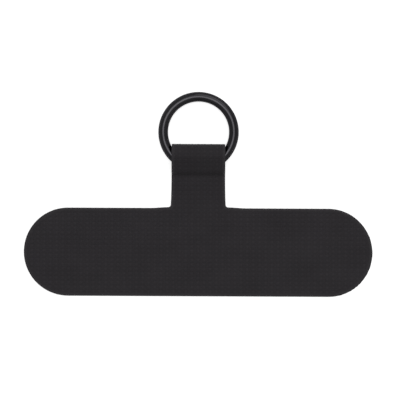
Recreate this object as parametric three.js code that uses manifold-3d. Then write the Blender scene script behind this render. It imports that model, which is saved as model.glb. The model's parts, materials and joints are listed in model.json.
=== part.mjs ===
// A phone lanyard patch: a thin fabric tab that lies inside a phone case, with a ring for a lanyard.
// One die-cut sheet of coated woven fabric is folded in half round a wire ring, and its two leaves
// are bonded face to face. The fold makes a teardrop loop, in which the ring swings a little.
// Millimetres, +Z up. The origin is the middle of the back face, and the ring lies on the +Y side.

import * as THREE from 'three';
import { mergeVertices } from 'three/addons/utils/BufferGeometryUtils.js';
import Module from 'manifold-3d';

const wasm = await Module();
wasm.setup();

// The sheet: one leaf's thickness, and how far the back leaf lies off the front one.
const LEAF = 0.3;
const BACK_LEAF_RIGHT = 0.1;
const BACK_LEAF_DOWN = 0.06;

// The tab, a bar with round ends.
const TAB_LENGTH = 60;
const TAB_WIDTH = 15.15;

// The strip that stands on the tab's long side and folds over the ring.
const STRIP_REACH = 11.03;
const STRIP_WIDTH_AT_ROOT = 9.5;
const STRIP_WIDTH_AT_WAIST = 9.2;
const STRIP_WIDTH_AT_FOLD = 9.14;
const WAIST_FROM_TAB = 5.4;
const ROOT_FILLET = 0.4;
const ROOT_RAMP_RISE = 0.15;
const ROOT_RAMP_RUN = 3.1;

// The strip's side view: it rises off the table, parts into two leaves and closes round the ring.
const STRIP_LIFT = 0.75;
const LIFT_BEND = 4.0;
const PARTING_BEFORE_WIRE = 1.42;
const PARTING_BEND = 0.4;
const LIFT_END_BEFORE_PARTING = 0.3;
const FOLD_BEND = 1.48;
const LEAF_LANDS_BEFORE_WIRE = 0.25;

// The ring, of round wire, and its gaps to the front leaf, the fold, the back leaf and the table.
const RING_HOLE = 10.5;
const WIRE = 1.66;
const RING_GAP = 0.1;
const RING_FOLD_GAP = 0.12;
const RING_SEAT_GAP = 0.14;
const TABLE_GAP = 0.02;

// How finely curves are divided.
const END_STEPS = 40;
const BEND_STEP = THREE.MathUtils.degToRad(9);
const SIDE_STEPS = 14;
const RING_STEPS = 96;
const WIRE_STEPS = 20;

// A cutting block reaches past what it cuts by this much.
const PAST = 1.0;

// Sizes that follow from the ones above.
const tabEdge = TAB_WIDTH / 2;
const foldTop = tabEdge + STRIP_REACH;
const foldY = foldTop - LEAF - FOLD_BEND;
const foldZ = LEAF + FOLD_BEND;
const partingZ = LEAF + STRIP_LIFT;
const rampEnd = tabEdge + ROOT_RAMP_RISE;
const stripStart = rampEnd + ROOT_FILLET;
const ringRadius = (RING_HOLE + WIRE) / 2;

// The ring hangs in the fold by its inner edge, at the strip's two sides. The edge lies below the
// fold's middle height, where the fold is a little less deep.
const foldHalf = STRIP_WIDTH_AT_FOLD / 2;
const crossingZ = LEAF + RING_SEAT_GAP + WIRE / 2;
const foldDepth = Math.sqrt(FOLD_BEND ** 2 - (foldZ - crossingZ) ** 2);
const hangY = foldY + foldDepth - RING_FOLD_GAP;
const ringY = hangY + Math.sqrt((RING_HOLE / 2) ** 2 - foldHalf ** 2);

// Its near side lies on the back leaf where the strip's sides cross it, and its far side on the table.
const nearY = ringY - ringRadius;
const partingY = nearY - PARTING_BEFORE_WIRE;
const crossingY = ringY - Math.sqrt(ringRadius ** 2 - foldHalf ** 2);
const crossingShare = (crossingY - nearY) / (2 * ringRadius);
const farZ = WIRE / 2 + TABLE_GAP;
const nearZ = (crossingZ - crossingShare * farZ) / (1 - crossingShare);
const ringTilt = -Math.asin((nearZ - farZ) / (2 * ringRadius));

// A turn to the left is from none to a full one, but for rounding, and a turn to the right likewise.
const FULL_TURN = 2 * Math.PI;
const ROUNDING = 0.1;

// A path that runs round a row of circles, tangent to each, as a belt runs round pulleys. A circle
// is [y, z, bend]; the bend is above zero where the path turns left. The path moves to its right by
// offset. It starts at the first circle and ends at the last, heading the way that is given there.
function belt(circles, startHeading, endHeading, offset) {
  const headings = [startHeading];
  for (let i = 1; i < circles.length; i += 1) {
    const [y0, z0, bend0] = circles[i - 1];
    const [y1, z1, bend1] = circles[i];
    const straight = Math.atan2(z1 - z0, y1 - y0);
    headings.push(straight - Math.asin((bend1 - bend0) / Math.hypot(y1 - y0, z1 - z0)));
  }
  headings.push(endHeading);
  const points = [];
  circles.forEach(([y, z, bend], i) => {
    const from = headings[i];
    const least = bend > 0 ? -ROUNDING : ROUNDING - FULL_TURN;
    const turn = least + THREE.MathUtils.euclideanModulo(headings[i + 1] - from - least, FULL_TURN);
    const steps = Math.max(1, Math.ceil(Math.abs(turn) / BEND_STEP));
    for (let k = 0; k <= steps; k += 1) {
      const heading = from + (turn * k) / steps;
      const radius = bend + offset;
      points.push(new THREE.Vector2(y + Math.sin(heading) * radius, z - Math.cos(heading) * radius));
    }
  });
  return points;
}

// The circles that the sheet's bonded face bends round, on the way out under the ring and on the
// way back over it.
const riseCircles = [
  [stripStart, LEAF + LIFT_BEND, LIFT_BEND],
  [partingY - LIFT_END_BEFORE_PARTING, partingZ - LIFT_BEND, -LIFT_BEND],
];
const partDown = [partingY, partingZ - PARTING_BEND, -PARTING_BEND];
const landing = [nearY - LEAF_LANDS_BEFORE_WIRE, LEAF + PARTING_BEND, PARTING_BEND];
const fold = [foldY, foldZ, FOLD_BEND];
const overWire = [nearY, nearZ, WIRE / 2 + RING_GAP];
const partUp = [partingY, partingZ + PARTING_BEND, -PARTING_BEND];
const fallCircles = [
  [partingY - LIFT_END_BEFORE_PARTING, partingZ - LIFT_BEND, LIFT_BEND],
  [stripStart, LEAF + LIFT_BEND, -LIFT_BEND],
];

// The strip's side view as one outline, drawn along the outer faces of both leaves.
function stripOutline() {
  const outer = belt(
    [...riseCircles, partDown, landing, fold, overWire, partUp, ...fallCircles],
    0,
    Math.PI,
    LEAF,
  );
  const inTab = 0;
  return new THREE.Shape([
    new THREE.Vector2(inTab, 0),
    ...outer,
    new THREE.Vector2(inTab, 2 * LEAF),
  ]);
}

// The loop's open inside, from just past the place where the leaves part.
function pocketOutline() {
  const firstGap = THREE.MathUtils.degToRad(14);
  return new THREE.Shape(
    belt([partDown, landing, fold, overWire, partUp], -firstGap, Math.PI + firstGap, 0),
  );
}

// The strip seen from the front: a waist, a wider fold, and fillets and a slight ramp at its root.
function stripPlan() {
  const rampX = STRIP_WIDTH_AT_ROOT / 2 + ROOT_FILLET;
  const side = new THREE.SplineCurve([
    new THREE.Vector2(STRIP_WIDTH_AT_ROOT / 2, stripStart),
    new THREE.Vector2(STRIP_WIDTH_AT_WAIST / 2, tabEdge + WAIST_FROM_TAB),
    new THREE.Vector2(foldHalf, foldTop),
    new THREE.Vector2(foldHalf, foldTop + PAST),
  ]).getPoints(SIDE_STEPS);
  const fillet = new THREE.EllipseCurve(
    rampX, stripStart, ROOT_FILLET, ROOT_FILLET, -Math.PI / 2, Math.PI, true,
  ).getPoints(6);
  const right = [
    new THREE.Vector2(rampX + ROOT_RAMP_RUN, tabEdge - PAST),
    new THREE.Vector2(rampX + ROOT_RAMP_RUN, tabEdge),
    ...fillet.slice(0, -1),
    ...side,
  ];
  const left = right.map((p) => new THREE.Vector2(-p.x, p.y)).reverse();
  return new THREE.Shape([...right, ...left]);
}

// The tab's outline: a bar with two round ends.
function tabPlan() {
  const straight = (TAB_LENGTH - TAB_WIDTH) / 2;
  const quarter = Math.PI / 2;
  const right = new THREE.EllipseCurve(straight, 0, tabEdge, tabEdge, -quarter, quarter);
  const left = new THREE.EllipseCurve(-straight, 0, tabEdge, tabEdge, quarter, 3 * quarter);
  return new THREE.Shape([...right.getPoints(END_STEPS), ...left.getPoints(END_STEPS)]);
}

// A slab of an outline, from one height up to another.
function slab(shape, low, high) {
  const geometry = new THREE.ExtrudeGeometry(shape, { depth: high - low, bevelEnabled: false });
  return geometry.translate(0, 0, low);
}

// A side view drawn in Y and Z, drawn out to both sides along X.
function across(shape, width) {
  const geometry = new THREE.ExtrudeGeometry(shape, { depth: width, bevelEnabled: false });
  const yzx = new THREE.Matrix4().makeBasis(
    new THREE.Vector3(0, 1, 0),
    new THREE.Vector3(0, 0, 1),
    new THREE.Vector3(1, 0, 0),
  );
  return geometry.translate(0, 0, -width / 2).applyMatrix4(yzx);
}

// A closed three.js geometry as a solid that can be joined and cut, and back again.
function solid(geometry) {
  const bare = geometry.index ? geometry.toNonIndexed() : geometry.clone();
  bare.deleteAttribute('normal');
  bare.deleteAttribute('uv');
  const merged = mergeVertices(bare, 1e-5);
  return new wasm.Manifold(new wasm.Mesh({
    numProp: 3,
    vertProperties: new Float32Array(merged.attributes.position.array),
    triVerts: new Uint32Array(merged.index.array),
  }));
}

function geometryOf(manifold) {
  const mesh = manifold.getMesh();
  const geometry = new THREE.BufferGeometry();
  geometry.setAttribute('position', new THREE.BufferAttribute(mesh.vertProperties, 3));
  geometry.setIndex(new THREE.BufferAttribute(mesh.triVerts, 1));
  const faceted = geometry.toNonIndexed();
  faceted.computeVertexNormals();
  return faceted;
}

// The whole folded sheet, one solid: two leaves of the tab, and the strip with its loop.
function patchGeometry() {
  const front = solid(slab(tabPlan(), LEAF, 2 * LEAF));
  const back = solid(slab(tabPlan(), 0, LEAF).translate(BACK_LEAF_RIGHT, -BACK_LEAF_DOWN, 0));
  const reach = STRIP_WIDTH_AT_ROOT + 2 * (ROOT_FILLET + ROOT_RAMP_RUN + PAST);
  const sideView = solid(across(stripOutline(), reach));
  const pocket = solid(across(pocketOutline(), reach + PAST));
  const plan = solid(slab(stripPlan(), -PAST, foldZ + FOLD_BEND + LEAF + PAST));
  const strip = sideView.subtract(pocket).intersect(plan);
  return geometryOf(front.add(back).add(strip));
}

const fabric = new THREE.MeshStandardMaterial({ color: 0x2d2b2d, roughness: 0.85, metalness: 0 });
const glossBlack = new THREE.MeshStandardMaterial({ color: 0x0b0b0c, roughness: 0.2, metalness: 0.6 });

const patch = new THREE.Mesh(patchGeometry(), fabric);
patch.name = 'patch';

// The ring is one closed loop of wire, tilted so that it lies on the back leaf and on the table.
const ring = new THREE.Mesh(
  new THREE.TorusGeometry(ringRadius, WIRE / 2, WIRE_STEPS, RING_STEPS),
  glossBlack,
);
ring.name = 'ring';
ring.rotation.x = ringTilt;
ring.position.set(0, nearY + ringRadius * Math.cos(ringTilt), (nearZ + farZ) / 2);

const group = new THREE.Group();
group.add(patch, ring);

export default group;
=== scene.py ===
import json
import math

import bmesh
import bpy
import numpy as np
from mathutils import Matrix, Vector


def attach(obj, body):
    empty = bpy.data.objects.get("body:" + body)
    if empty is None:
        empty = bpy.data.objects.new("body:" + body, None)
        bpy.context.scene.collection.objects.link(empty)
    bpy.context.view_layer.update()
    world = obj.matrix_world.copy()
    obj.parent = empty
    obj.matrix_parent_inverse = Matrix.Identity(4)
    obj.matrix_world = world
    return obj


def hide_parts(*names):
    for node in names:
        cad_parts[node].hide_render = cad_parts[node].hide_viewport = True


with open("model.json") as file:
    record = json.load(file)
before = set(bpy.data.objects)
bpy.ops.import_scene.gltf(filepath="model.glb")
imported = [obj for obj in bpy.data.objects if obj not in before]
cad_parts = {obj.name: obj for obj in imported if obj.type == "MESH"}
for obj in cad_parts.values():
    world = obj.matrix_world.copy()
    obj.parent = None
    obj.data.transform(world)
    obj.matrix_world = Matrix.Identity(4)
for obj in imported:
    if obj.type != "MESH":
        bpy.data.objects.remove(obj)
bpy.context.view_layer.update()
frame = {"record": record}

# The patch is one die-cut sheet of black coated woven polyester. It is folded in half round the
# ring, and its two leaves are bonded face to face, so the strip ends in a loop that holds the ring.
# Sizes are in millimetres, in the model's own frame, and the mesh is scaled to metres at the end.
MM = 0.001
LEAF = 0.3
LEAF_CLOTH = 0.25
BACK_LEAF_RIGHT = 0.1
BACK_LEAF_DOWN = 0.06

TAB_LENGTH = 60.0
TAB_WIDTH = 15.15
STRIP_REACH = 11.03
STRIP_WIDTH_AT_ROOT = 9.5
STRIP_WIDTH_AT_WAIST = 9.2
STRIP_WIDTH_AT_FOLD = 9.14
WAIST_FROM_TAB = 5.4
ROOT_FILLET = 0.4
ROOT_RAMP_RISE = 0.15
ROOT_RAMP_RUN = 3.1

STRIP_LIFT = 0.75
LIFT_BEND = 4.0
PARTING_BEFORE_WIRE = 1.42
PARTING_BEND = 0.4
LIFT_END_BEFORE_PARTING = 0.3
FOLD_BEND = 1.48
LEAF_LANDS_BEFORE_WIRE = 0.25

WIRE = 1.66
RING_GAP = 0.1

# The weave: one warp thread every 0.53 mm along X and one weft thread every 0.39 mm along Y.
WARP_PITCH = 0.53
WEFT_PITCH = 0.39
WARP_CROWN = 0.030
WEFT_CROWN = 0.012
THREAD_SIDE = 0.030
EDGE_PRESSED = 0.02
# Width of the painted edge highlight along the cut edge, in millimetres.
PAINTED_EDGE_LIGHT_WIDTH = 0.5

# How finely a belt's turns are drawn, and how far one may come out backwards before it is taken as a
# turn nearly all the way round.
TURN_STEP = math.radians(2)
TURN_SLACK = 0.1
# The width over which the tab's and the strip's outlines blend into a corner like the fillet.
ROOT_BLEND = 1.2 * ROOT_FILLET

TAB_EDGE = TAB_WIDTH / 2
TAB_STRAIGHT = (TAB_LENGTH - TAB_WIDTH) / 2
FOLD_TOP = TAB_EDGE + STRIP_REACH
STRIP_START = TAB_EDGE + ROOT_RAMP_RISE + ROOT_FILLET

ring_joint = frame["record"]["behaviour"]["joints"][0]
NEAR_Y = ring_joint["pos_m"][1] / MM
NEAR_Z = ring_joint["pos_m"][2] / MM
PARTING_Y = NEAR_Y - PARTING_BEFORE_WIRE
PARTING_Z = LEAF + STRIP_LIFT
LIFT_END_Y = PARTING_Y - LIFT_END_BEFORE_PARTING


def belt(circles, start, end, offset):
    """Points and headings of a path that runs round circles [y, z, bend], moved right by offset."""
    headings = [start]
    for (y0, z0, bend0), (y1, z1, bend1) in zip(circles, circles[1:]):
        straight = math.atan2(z1 - z0, y1 - y0)
        headings.append(straight - math.asin((bend1 - bend0) / math.hypot(y1 - y0, z1 - z0)))
    headings.append(end)
    points = []
    heading = start
    for (y, z, bend), target in zip(circles, headings[1:]):
        least = -TURN_SLACK if bend > 0 else TURN_SLACK - math.tau
        turn = least + (target - heading - least) % math.tau
        steps = max(1, math.ceil(abs(turn) / TURN_STEP))
        for k in range(steps + 1):
            h = heading + turn * k / steps
            radius = bend + offset
            points.append((y + math.sin(h) * radius, z - math.cos(h) * radius, h))
        heading += turn
    return points


# The outer face's side view, from the back leaf's free end round the ring to the front leaf's.
path = belt(
    [
        [STRIP_START, LEAF + LIFT_BEND, LIFT_BEND],
        [LIFT_END_Y, PARTING_Z - LIFT_BEND, -LIFT_BEND],
        [PARTING_Y, PARTING_Z - PARTING_BEND, -PARTING_BEND],
        [NEAR_Y - LEAF_LANDS_BEFORE_WIRE, LEAF + PARTING_BEND, PARTING_BEND],
        [FOLD_TOP - LEAF - FOLD_BEND, LEAF + FOLD_BEND, FOLD_BEND],
        [NEAR_Y, NEAR_Z, WIRE / 2 + RING_GAP],
        [PARTING_Y, PARTING_Z + PARTING_BEND, -PARTING_BEND],
        [LIFT_END_Y, PARTING_Z - LIFT_BEND, LIFT_BEND],
        [STRIP_START, LEAF + LIFT_BEND, -LIFT_BEND],
    ],
    0,
    math.pi,
    LEAF,
)
PAST_THE_TAB = 1.0
path = [(-TAB_EDGE - PAST_THE_TAB, 0, 0), *path, (-TAB_EDGE - PAST_THE_TAB, 2 * LEAF, math.pi)]
path_y, path_z, path_turn = (np.array(column, float) for column in zip(*path))
path_along = np.concatenate([[0], np.cumsum(np.hypot(np.diff(path_y), np.diff(path_z)))])
round_the_fold = slice(path_turn.argmax() + 1)
path_along -= np.interp(math.pi / 2, path_turn[round_the_fold], path_along[round_the_fold])


def side_view(along):
    """Where a point of the flat sheet comes to lie, and which way the sheet heads there."""
    return (np.interp(along, path_along, column) for column in (path_y, path_z, path_turn))


def outside(x, along):
    """How far a point of the sheet lies outside the cut outline; below zero is inside it."""
    y, _, _ = side_view(along)
    back = along < 0
    tab_x = x - np.where(back, BACK_LEAF_RIGHT, 0)
    tab_y = y + np.where(back, BACK_LEAF_DOWN, 0)
    ramp = (STRIP_WIDTH_AT_ROOT / 2 + ROOT_FILLET + ROOT_RAMP_RUN - np.abs(x)) / ROOT_RAMP_RUN
    ramp = np.clip(ramp, 0, 1) * (y > 0)
    edge = TAB_EDGE + ROOT_RAMP_RISE * ramp * ramp * (3 - 2 * ramp)
    tab = np.hypot(np.maximum(np.abs(tab_x) - TAB_STRAIGHT, 0), tab_y) - edge
    from_waist = y - TAB_EDGE - WAIST_FROM_TAB
    flare = np.where(
        from_waist < 0,
        (STRIP_WIDTH_AT_ROOT - STRIP_WIDTH_AT_WAIST) * (from_waist / WAIST_FROM_TAB) ** 2,
        (STRIP_WIDTH_AT_FOLD - STRIP_WIDTH_AT_WAIST) * (from_waist / (STRIP_REACH - WAIST_FROM_TAB)) ** 2,
    )
    strip = np.maximum(np.abs(x) - (STRIP_WIDTH_AT_WAIST + flare) / 2, TAB_EDGE / 2 - y)
    share = np.clip(0.5 + 0.5 * (strip - tab) / ROOT_BLEND, 0, 1)
    return strip * (1 - share) + tab * share - ROOT_BLEND * share * (1 - share)


# A flat sheet woven on the grid of the threads, four cells to a crossing.
cell_x = WARP_PITCH / 2
cell_v = WEFT_PITCH / 2
half_columns = math.ceil((TAB_LENGTH / 2 + PAST_THE_TAB) / cell_x)
rows_back = math.floor(-path_along[0] / cell_v)
rows_front = math.floor(path_along[-1] / cell_v)
sheet = bmesh.new()
bmesh.ops.create_grid(sheet, x_segments=2 * half_columns, y_segments=rows_back + rows_front, size=1)
for vert in sheet.verts:
    vert.co.x *= half_columns * cell_x
    vert.co.y = ((vert.co.y + 1) / 2 * (rows_back + rows_front) - rows_back) * cell_v

# The die cuts it to the outline: cells outside fall away, and the cut edge is drawn onto the line.
centres = np.array([face.calc_center_median() for face in sheet.faces])
waste = outside(centres[:, 0], centres[:, 1]) > 0
bmesh.ops.delete(sheet, geom=[f for f, out in zip(sheet.faces, waste) if out], context="FACES")
sheet.verts.ensure_lookup_table()
flat = np.array([vert.co for vert in sheet.verts])
cut = np.array([vert.is_boundary for vert in sheet.verts])
DRAWING_ROUNDS = 4
NUDGE = 0.01
LEAST_STEEP = 0.2
for _ in range(DRAWING_ROUNDS):
    x, along = flat[cut, 0], flat[cut, 1]
    off = outside(x, along)
    slope_x = (outside(x + NUDGE, along) - off) / NUDGE
    slope_v = (outside(x, along + NUDGE) - off) / NUDGE
    steep = np.maximum(slope_x**2 + slope_v**2, LEAST_STEEP)
    flat[cut, 0] -= off * slope_x / steep
    flat[cut, 1] -= off * slope_v / steep

# Each crossing stands up where its warp lies on top, and the edge is pressed down by the die.
x, along = flat[:, 0], flat[:, 1]
over = np.cos(math.pi * x / WARP_PITCH) * np.cos(math.pi * along / WEFT_PITCH)
warp = WARP_CROWN * over - THREAD_SIDE * (1 - np.cos(math.tau * x / WARP_PITCH)) / 2
weft = -WEFT_CROWN * over - THREAD_SIDE * (1 - np.cos(math.tau * along / WEFT_PITCH)) / 2
relief = np.maximum(warp, weft) - WARP_CROWN - EDGE_PRESSED * cut
y, z, turn = side_view(along)
folded = np.stack([x, y + np.sin(turn) * relief, z - np.cos(turn) * relief], axis=1) * MM

thread_map = sheet.loops.layers.uv.new("threads")
for face in sheet.faces:
    for loop in face.loops:
        at = loop.vert.index
        loop[thread_map].uv = (flat[at, 0] / WARP_PITCH, flat[at, 1] / WEFT_PITCH)
# A painted edge highlight lightens the face along the cut edge, and a painted shade darkens the front
# leaf where it bends over the wire.
painted_edge_light = np.clip(1 + outside(x, along) / PAINTED_EDGE_LIGHT_WIDTH, 0, 1)
painted_band_at = [NEAR_Y - WIRE, NEAR_Y - WIRE / 4, NEAR_Y + WIRE / 2, NEAR_Y + 1.3 * WIRE]
painted_band_shade = np.interp(y, painted_band_at, [0, 1, 1, 0]) * (along > 0)
painted_edge_light_map = sheet.verts.layers.float.new("painted_edge_light")
painted_band_shade_map = sheet.verts.layers.float.new("painted_band_shade")
for vert, place, near_cut, band_shade in zip(sheet.verts, folded, painted_edge_light, painted_band_shade):
    vert.co = place
    vert[painted_edge_light_map] = float(near_cut)
    vert[painted_band_shade_map] = float(band_shade)
for face in sheet.faces:
    face.smooth = True
# The faces look outwards, so that the solidify modifier thickens the cloth inwards.
sheet.normal_update()
middle = min(sheet.faces, key=lambda f: (f.calc_center_median() - Vector((0, 0, 2 * LEAF * MM))).length)
if middle.normal.z < 0:
    bmesh.ops.reverse_faces(sheet, faces=sheet.faces)
patch_mesh = bpy.data.meshes.new("patch_cloth")
sheet.to_mesh(patch_mesh)
sheet.free()
patch = bpy.data.objects.new("patch_cloth", patch_mesh)
bpy.context.scene.collection.objects.link(patch)
thickness = patch.modifiers.new("cloth_thickness", "SOLIDIFY")
thickness.thickness = LEAF_CLOTH * MM
thickness.offset = -1
thickness.use_even_offset = False
thickness.material_offset = 1
thickness.material_offset_rim = 2


def material(name, colour, roughness, specular):
    made = bpy.data.materials.new(name)
    made.use_nodes = True
    shader = made.node_tree.nodes["Principled BSDF"]
    shader.inputs["Base Color"].default_value = (*colour, 1)
    shader.inputs["Roughness"].default_value = roughness
    shader.inputs["Specular IOR Level"].default_value = specular
    return made, made.node_tree, shader


def math_node(tree, operation, a, b=None):
    node = tree.nodes.new("ShaderNodeMath")
    node.operation = operation
    for socket, value in zip(node.inputs, (a, b)):
        if value is None:
            continue
        if isinstance(value, (int, float)):
            socket.default_value = value
        else:
            tree.links.new(value, socket)
    return node.outputs[0]


def ramp_node(tree, factor, stops):
    node = tree.nodes.new("ShaderNodeValToRGB")
    tree.links.new(factor, node.inputs["Fac"])
    for element, (at, colour) in zip(node.color_ramp.elements, stops):
        element.position = at
        element.color = (*colour, 1)
    return node.outputs["Color"]


def noise_node(tree, vector, scale, detail):
    node = tree.nodes.new("ShaderNodeTexNoise")
    node.inputs["Scale"].default_value = scale
    node.inputs["Detail"].default_value = detail
    tree.links.new(vector, node.inputs["Vector"])
    return node.outputs["Fac"]


def bump_node(tree, height, strength, distance):
    node = tree.nodes.new("ShaderNodeBump")
    node.inputs["Strength"].default_value = strength
    node.inputs["Distance"].default_value = distance
    tree.links.new(height, node.inputs["Height"])
    return node.outputs["Normal"]


# The woven face: round threads, over and under in turn, each with its own fine fibres.
CLOTH_DARK = (0.0105, 0.0091, 0.0109)
CLOTH_LIGHT = (0.0275, 0.0245, 0.0280)
# A lighter colour painted along the cut edge: a painted edge highlight.
PAINTED_EDGE_LIGHT = (0.037, 0.034, 0.0375)
# How much the painted shade darkens the front leaf where it bends over the wire.
PAINTED_BAND_SHADE = 0.87
woven, tree, shader = material("woven_face", CLOTH_LIGHT, 0.75, 0.22)
shader.inputs["Sheen Weight"].default_value = 0.05
shader.inputs["Sheen Roughness"].default_value = 0.45
threads = tree.nodes.new("ShaderNodeUVMap")
threads.uv_map = "threads"
parts = tree.nodes.new("ShaderNodeSeparateXYZ")
tree.links.new(threads.outputs["UV"], parts.inputs[0])
u, v = parts.outputs["X"], parts.outputs["Y"]
cos_u = math_node(tree, "COSINE", math_node(tree, "MULTIPLY", u, math.pi))
cos_v = math_node(tree, "COSINE", math_node(tree, "MULTIPLY", v, math.pi))
crossing = math_node(tree, "MULTIPLY", cos_u, cos_v)
warp_round = math_node(tree, "MULTIPLY", cos_u, cos_u)
weft_round = math_node(tree, "MULTIPLY", cos_v, cos_v)
CRIMP = 0.7
warp_top = math_node(tree, "ADD", math_node(tree, "MULTIPLY", crossing, CRIMP), warp_round)
weft_top = math_node(tree, "ADD", math_node(tree, "MULTIPLY", crossing, -CRIMP), weft_round)
height = math_node(tree, "MAXIMUM", warp_top, weft_top)


def fibres(stretch):
    """Fine noise drawn out along a thread."""
    mapping = tree.nodes.new("ShaderNodeMapping")
    mapping.inputs["Scale"].default_value = stretch
    tree.links.new(threads.outputs["UV"], mapping.inputs["Vector"])
    return noise_node(tree, mapping.outputs["Vector"], 1.0, 2)


FIBRES_ACROSS = 9.0
FIBRES_ALONG = 1.2
warp_fibres = fibres((FIBRES_ACROSS, FIBRES_ALONG, 1.0))
weft_fibres = fibres((FIBRES_ALONG, FIBRES_ACROSS, 1.0))
warp_is_up = math_node(tree, "GREATER_THAN", warp_top, weft_top)
both = tree.nodes.new("ShaderNodeMix")
both.data_type = "FLOAT"
tree.links.new(warp_is_up, both.inputs["Factor"])
tree.links.new(weft_fibres, both.inputs["A"])
tree.links.new(warp_fibres, both.inputs["B"])
fibre = both.outputs["Result"]
height = math_node(tree, "ADD", height, math_node(tree, "MULTIPLY", fibre, 0.5))
tree.links.new(bump_node(tree, height, 0.8, 0.02 * MM), shader.inputs["Normal"])
mottle = noise_node(tree, threads.outputs["UV"], 0.09, 3)
# The tone's parts: crossings, patches of wear, fibres, warp crowns, and every other thread of each set.
shade = math_node(tree, "MULTIPLY", crossing, 0.08)
for part, share in ((mottle, 0.5), (fibre, 0.65), (warp_round, 0.08), (cos_v, 0.055), (cos_u, 0.035)):
    shade = math_node(tree, "ADD", shade, math_node(tree, "MULTIPLY", part, share))
cloth = ramp_node(tree, shade, [(0.17, CLOTH_DARK), (0.97, CLOTH_LIGHT)])


def blend_to(cloth, attribute, colour, blend_type):
    """The cloth's colour, blended to another one by a value that the sheet's vertices hold."""
    held = tree.nodes.new("ShaderNodeAttribute")
    held.attribute_name = attribute
    mix = tree.nodes.new("ShaderNodeMix")
    mix.data_type = "RGBA"
    mix.blend_type = blend_type
    tree.links.new(held.outputs["Fac"], mix.inputs["Factor"])
    tree.links.new(cloth, mix.inputs["A"])
    mix.inputs["B"].default_value = (*colour, 1)
    return mix.outputs["Result"]


# Painted shade: the cloth's colour is multiplied darker where the front leaf bends over the wire.
cloth = blend_to(cloth, "painted_band_shade", (PAINTED_BAND_SHADE, PAINTED_BAND_SHADE, PAINTED_BAND_SHADE), "MULTIPLY")
# Painted edge highlight: the cloth's colour is blended lighter near the cut edge.
tree.links.new(blend_to(cloth, "painted_edge_light", PAINTED_EDGE_LIGHT, "MIX"), shader.inputs["Base Color"])

# The coated side, which is bonded to itself and shows only inside the loop.
COATING = (0.016, 0.0155, 0.017)
COATING_DARK = (0.013, 0.0125, 0.014)
coated, tree, shader = material("coated_side", COATING, 0.55, 0.3)
place = tree.nodes.new("ShaderNodeTexCoord").outputs["Object"]
grain = noise_node(tree, place, 2500, 3)
tree.links.new(bump_node(tree, grain, 0.3, 0.01 * MM), shader.inputs["Normal"])
tree.links.new(ramp_node(tree, grain, [(0.3, COATING_DARK), (0.7, COATING)]), shader.inputs["Base Color"])

# The cut edge: chopped thread ends, a little greyer than the face.
CUT_DARK = (0.016, 0.0155, 0.0165)
CUT_LIGHT = (0.060, 0.058, 0.060)
cut_edge, tree, shader = material("cut_edge", CUT_LIGHT, 0.9, 0.15)
place = tree.nodes.new("ShaderNodeTexCoord").outputs["Object"]
ends = noise_node(tree, place, 4200, 2)
tree.links.new(bump_node(tree, ends, 0.8, 0.03 * MM), shader.inputs["Normal"])
tree.links.new(ramp_node(tree, ends, [(0.35, CUT_DARK), (0.7, CUT_LIGHT)]), shader.inputs["Base Color"])

for made in (woven, coated, cut_edge):
    patch_mesh.materials.append(made)

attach(patch, "patch")
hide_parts("patch")

# The ring is closed round steel wire in gloss black enamel. The loop holds it, and it lies with its
# near side on the back leaf and its far side on the table.
RING_RADIUS = 6.08
TABLE_GAP = 0.02
WIRE_SIDES = 40
RING_SIDES = 220
wire = bmesh.new()
bmesh.ops.create_circle(
    wire,
    segments=WIRE_SIDES,
    radius=WIRE / 2 * MM,
    matrix=Matrix.Translation((RING_RADIUS * MM, 0, 0)) @ Matrix.Rotation(math.pi / 2, 4, "X"),
)
bmesh.ops.spin(
    wire,
    geom=wire.verts[:] + wire.edges[:],
    cent=(0, 0, 0),
    axis=(0, 0, 1),
    angle=math.tau,
    steps=RING_SIDES,
    use_merge=True,
)
bmesh.ops.remove_doubles(wire, verts=wire.verts, dist=0.001 * MM)
far_z = WIRE / 2 + TABLE_GAP
tilt = -math.asin((NEAR_Z - far_z) / (2 * RING_RADIUS))
ring_middle = Vector((0, NEAR_Y + RING_RADIUS * math.cos(tilt), (NEAR_Z + far_z) / 2)) * MM
bmesh.ops.transform(
    wire, matrix=Matrix.Translation(ring_middle) @ Matrix.Rotation(tilt, 4, "X"), verts=wire.verts
)
bmesh.ops.recalc_face_normals(wire, faces=wire.faces)
for face in wire.faces:
    face.smooth = True
ring_mesh = bpy.data.meshes.new("ring_wire")
wire.to_mesh(ring_mesh)
wire.free()
ring = bpy.data.objects.new("ring_wire", ring_mesh)
bpy.context.scene.collection.objects.link(ring)

ENAMEL = (0.034, 0.033, 0.036)
ENAMEL_HANDLED = (0.044, 0.043, 0.046)
ENAMEL_EDGE = (0.2, 0.2, 0.2)
enamel, tree, shader = material("gloss_black_enamel", ENAMEL, 0.2, 0.5)
shader.inputs["Metallic"].default_value = 0.94
shader.inputs["Specular Tint"].default_value = (*ENAMEL_EDGE, 1)
place = tree.nodes.new("ShaderNodeTexCoord").outputs["Object"]
flow = noise_node(tree, place, 900, 2)
handling = noise_node(tree, place, 260, 4)
tree.links.new(bump_node(tree, flow, 0.12, 0.02 * MM), shader.inputs["Normal"])
gloss = tree.nodes.new("ShaderNodeMapRange")
tree.links.new(handling, gloss.inputs["Value"])
gloss.inputs["From Min"].default_value = 0.3
gloss.inputs["From Max"].default_value = 0.7
gloss.inputs["To Min"].default_value = 0.13
gloss.inputs["To Max"].default_value = 0.21
tree.links.new(gloss.outputs["Result"], shader.inputs["Roughness"])
worn = ramp_node(tree, handling, [(0.35, ENAMEL), (0.75, ENAMEL_HANDLED)])
tree.links.new(worn, shader.inputs["Base Color"])
ring_mesh.materials.append(enamel)
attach(ring, "ring")
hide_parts("ring")

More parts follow.
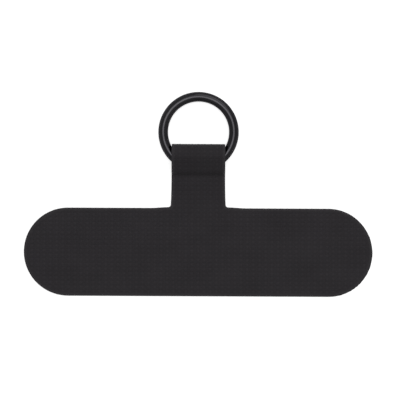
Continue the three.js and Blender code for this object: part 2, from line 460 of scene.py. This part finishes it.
# The table is a plain white sweep. It gives the camera and the reflections an even white, and the
# lamps' light on it keeps the object's soft shadow.
FLOOR_HALF = 1.5
FLOOR_UNDER = 0.02
ground = bmesh.new()
bmesh.ops.create_grid(
    ground,
    x_segments=1,
    y_segments=1,
    size=FLOOR_HALF,
    matrix=Matrix.Translation((0, 0, -FLOOR_UNDER * MM)),
)
floor_mesh = bpy.data.meshes.new("floor")
ground.to_mesh(floor_mesh)
ground.free()
floor = bpy.data.objects.new("floor", floor_mesh)
bpy.context.scene.collection.objects.link(floor)


def seen_white(tree):
    """One for what the camera, a reflection or a clear body sees, and none for the light itself."""
    rays = tree.nodes.new("ShaderNodeLightPath").outputs
    seen = math_node(tree, "MAXIMUM", rays["Is Camera Ray"], rays["Is Glossy Ray"])
    return math_node(tree, "MAXIMUM", seen, rays["Is Transmission Ray"])


FLOOR_COLOUR = (0.8, 0.8, 0.8)
FLOOR_LIFT = 0.6
paper = bpy.data.materials.new("white_floor")
paper.use_nodes = True
tree = paper.node_tree
tree.nodes.clear()
matt = tree.nodes.new("ShaderNodeBsdfDiffuse")
matt.inputs["Color"].default_value = (*FLOOR_COLOUR, 1)
glow = tree.nodes.new("ShaderNodeEmission")
tree.links.new(math_node(tree, "MULTIPLY", seen_white(tree), FLOOR_LIFT), glow.inputs["Strength"])
joined = tree.nodes.new("ShaderNodeAddShader")
tree.links.new(matt.outputs[0], joined.inputs[0])
tree.links.new(glow.outputs[0], joined.inputs[1])
surface = tree.nodes.new("ShaderNodeOutputMaterial")
tree.links.new(joined.outputs[0], surface.inputs["Surface"])
floor_mesh.materials.append(paper)

# The studio: an even pale room, a soft box over the table and a second one towards the ring.
ROOM_LEVEL = 0.45
ROOM_SEEN = 0.95
LIT_POINT = Vector((0, 0.01, 0))
room = bpy.data.worlds.new("room")
bpy.context.scene.world = room
room.use_nodes = True
tree = room.node_tree
rays = tree.nodes.new("ShaderNodeLightPath").outputs
level = math_node(tree, "MULTIPLY", rays["Is Camera Ray"], ROOM_SEEN - ROOM_LEVEL)
level = math_node(tree, "ADD", level, ROOM_LEVEL)
background = tree.nodes["Background"]
background.inputs["Color"].default_value = (1, 1, 1, 1)
tree.links.new(level, background.inputs["Strength"])


def soft_box(name, place, size, level):
    """A square lamp that faces the lit point; level is how bright its face looks."""
    lamp = bpy.data.lights.new(name, "AREA")
    lamp.shape = "SQUARE"
    lamp.size = size
    lamp.energy = level * math.pi * size**2
    box = bpy.data.objects.new(name, lamp)
    box.location = place
    box.rotation_euler = (LIT_POINT - box.location).to_track_quat("-Z", "Y").to_euler()
    bpy.context.scene.collection.objects.link(box)


soft_box("soft_box_over", (0.0, 0.02, 0.46), 0.26, 3.0)
soft_box("soft_box_far", (0.12, 0.36, 0.38), 0.34, 1.2)

# The camera looks straight down, a little turned, as the photograph was taken.
FRAME_PX = 400
TAB_LENGTH_PX = 348.4
TAB_MIDDLE_PX = (197.99, 252.17)
TURNED = math.radians(0.27)
LENS = 135
px = TAB_LENGTH * MM / TAB_LENGTH_PX
right_px = FRAME_PX / 2 - TAB_MIDDLE_PX[0]
up_px = TAB_MIDDLE_PX[1] - FRAME_PX / 2
lens = bpy.data.cameras.new("camera")
lens.lens = LENS
lens.clip_start = 0.01
lens.clip_end = 10
camera = bpy.data.objects.new("camera", lens)
camera.location = (
    (right_px * math.cos(TURNED) - up_px * math.sin(TURNED)) * px,
    (right_px * math.sin(TURNED) + up_px * math.cos(TURNED)) * px,
    2 * LEAF * MM + FRAME_PX * px * LENS / lens.sensor_width,
)
camera.rotation_euler = (0, 0, TURNED)
bpy.context.scene.collection.objects.link(camera)
bpy.context.scene.camera = camera
bpy.context.scene.view_settings.view_transform = "Standard"
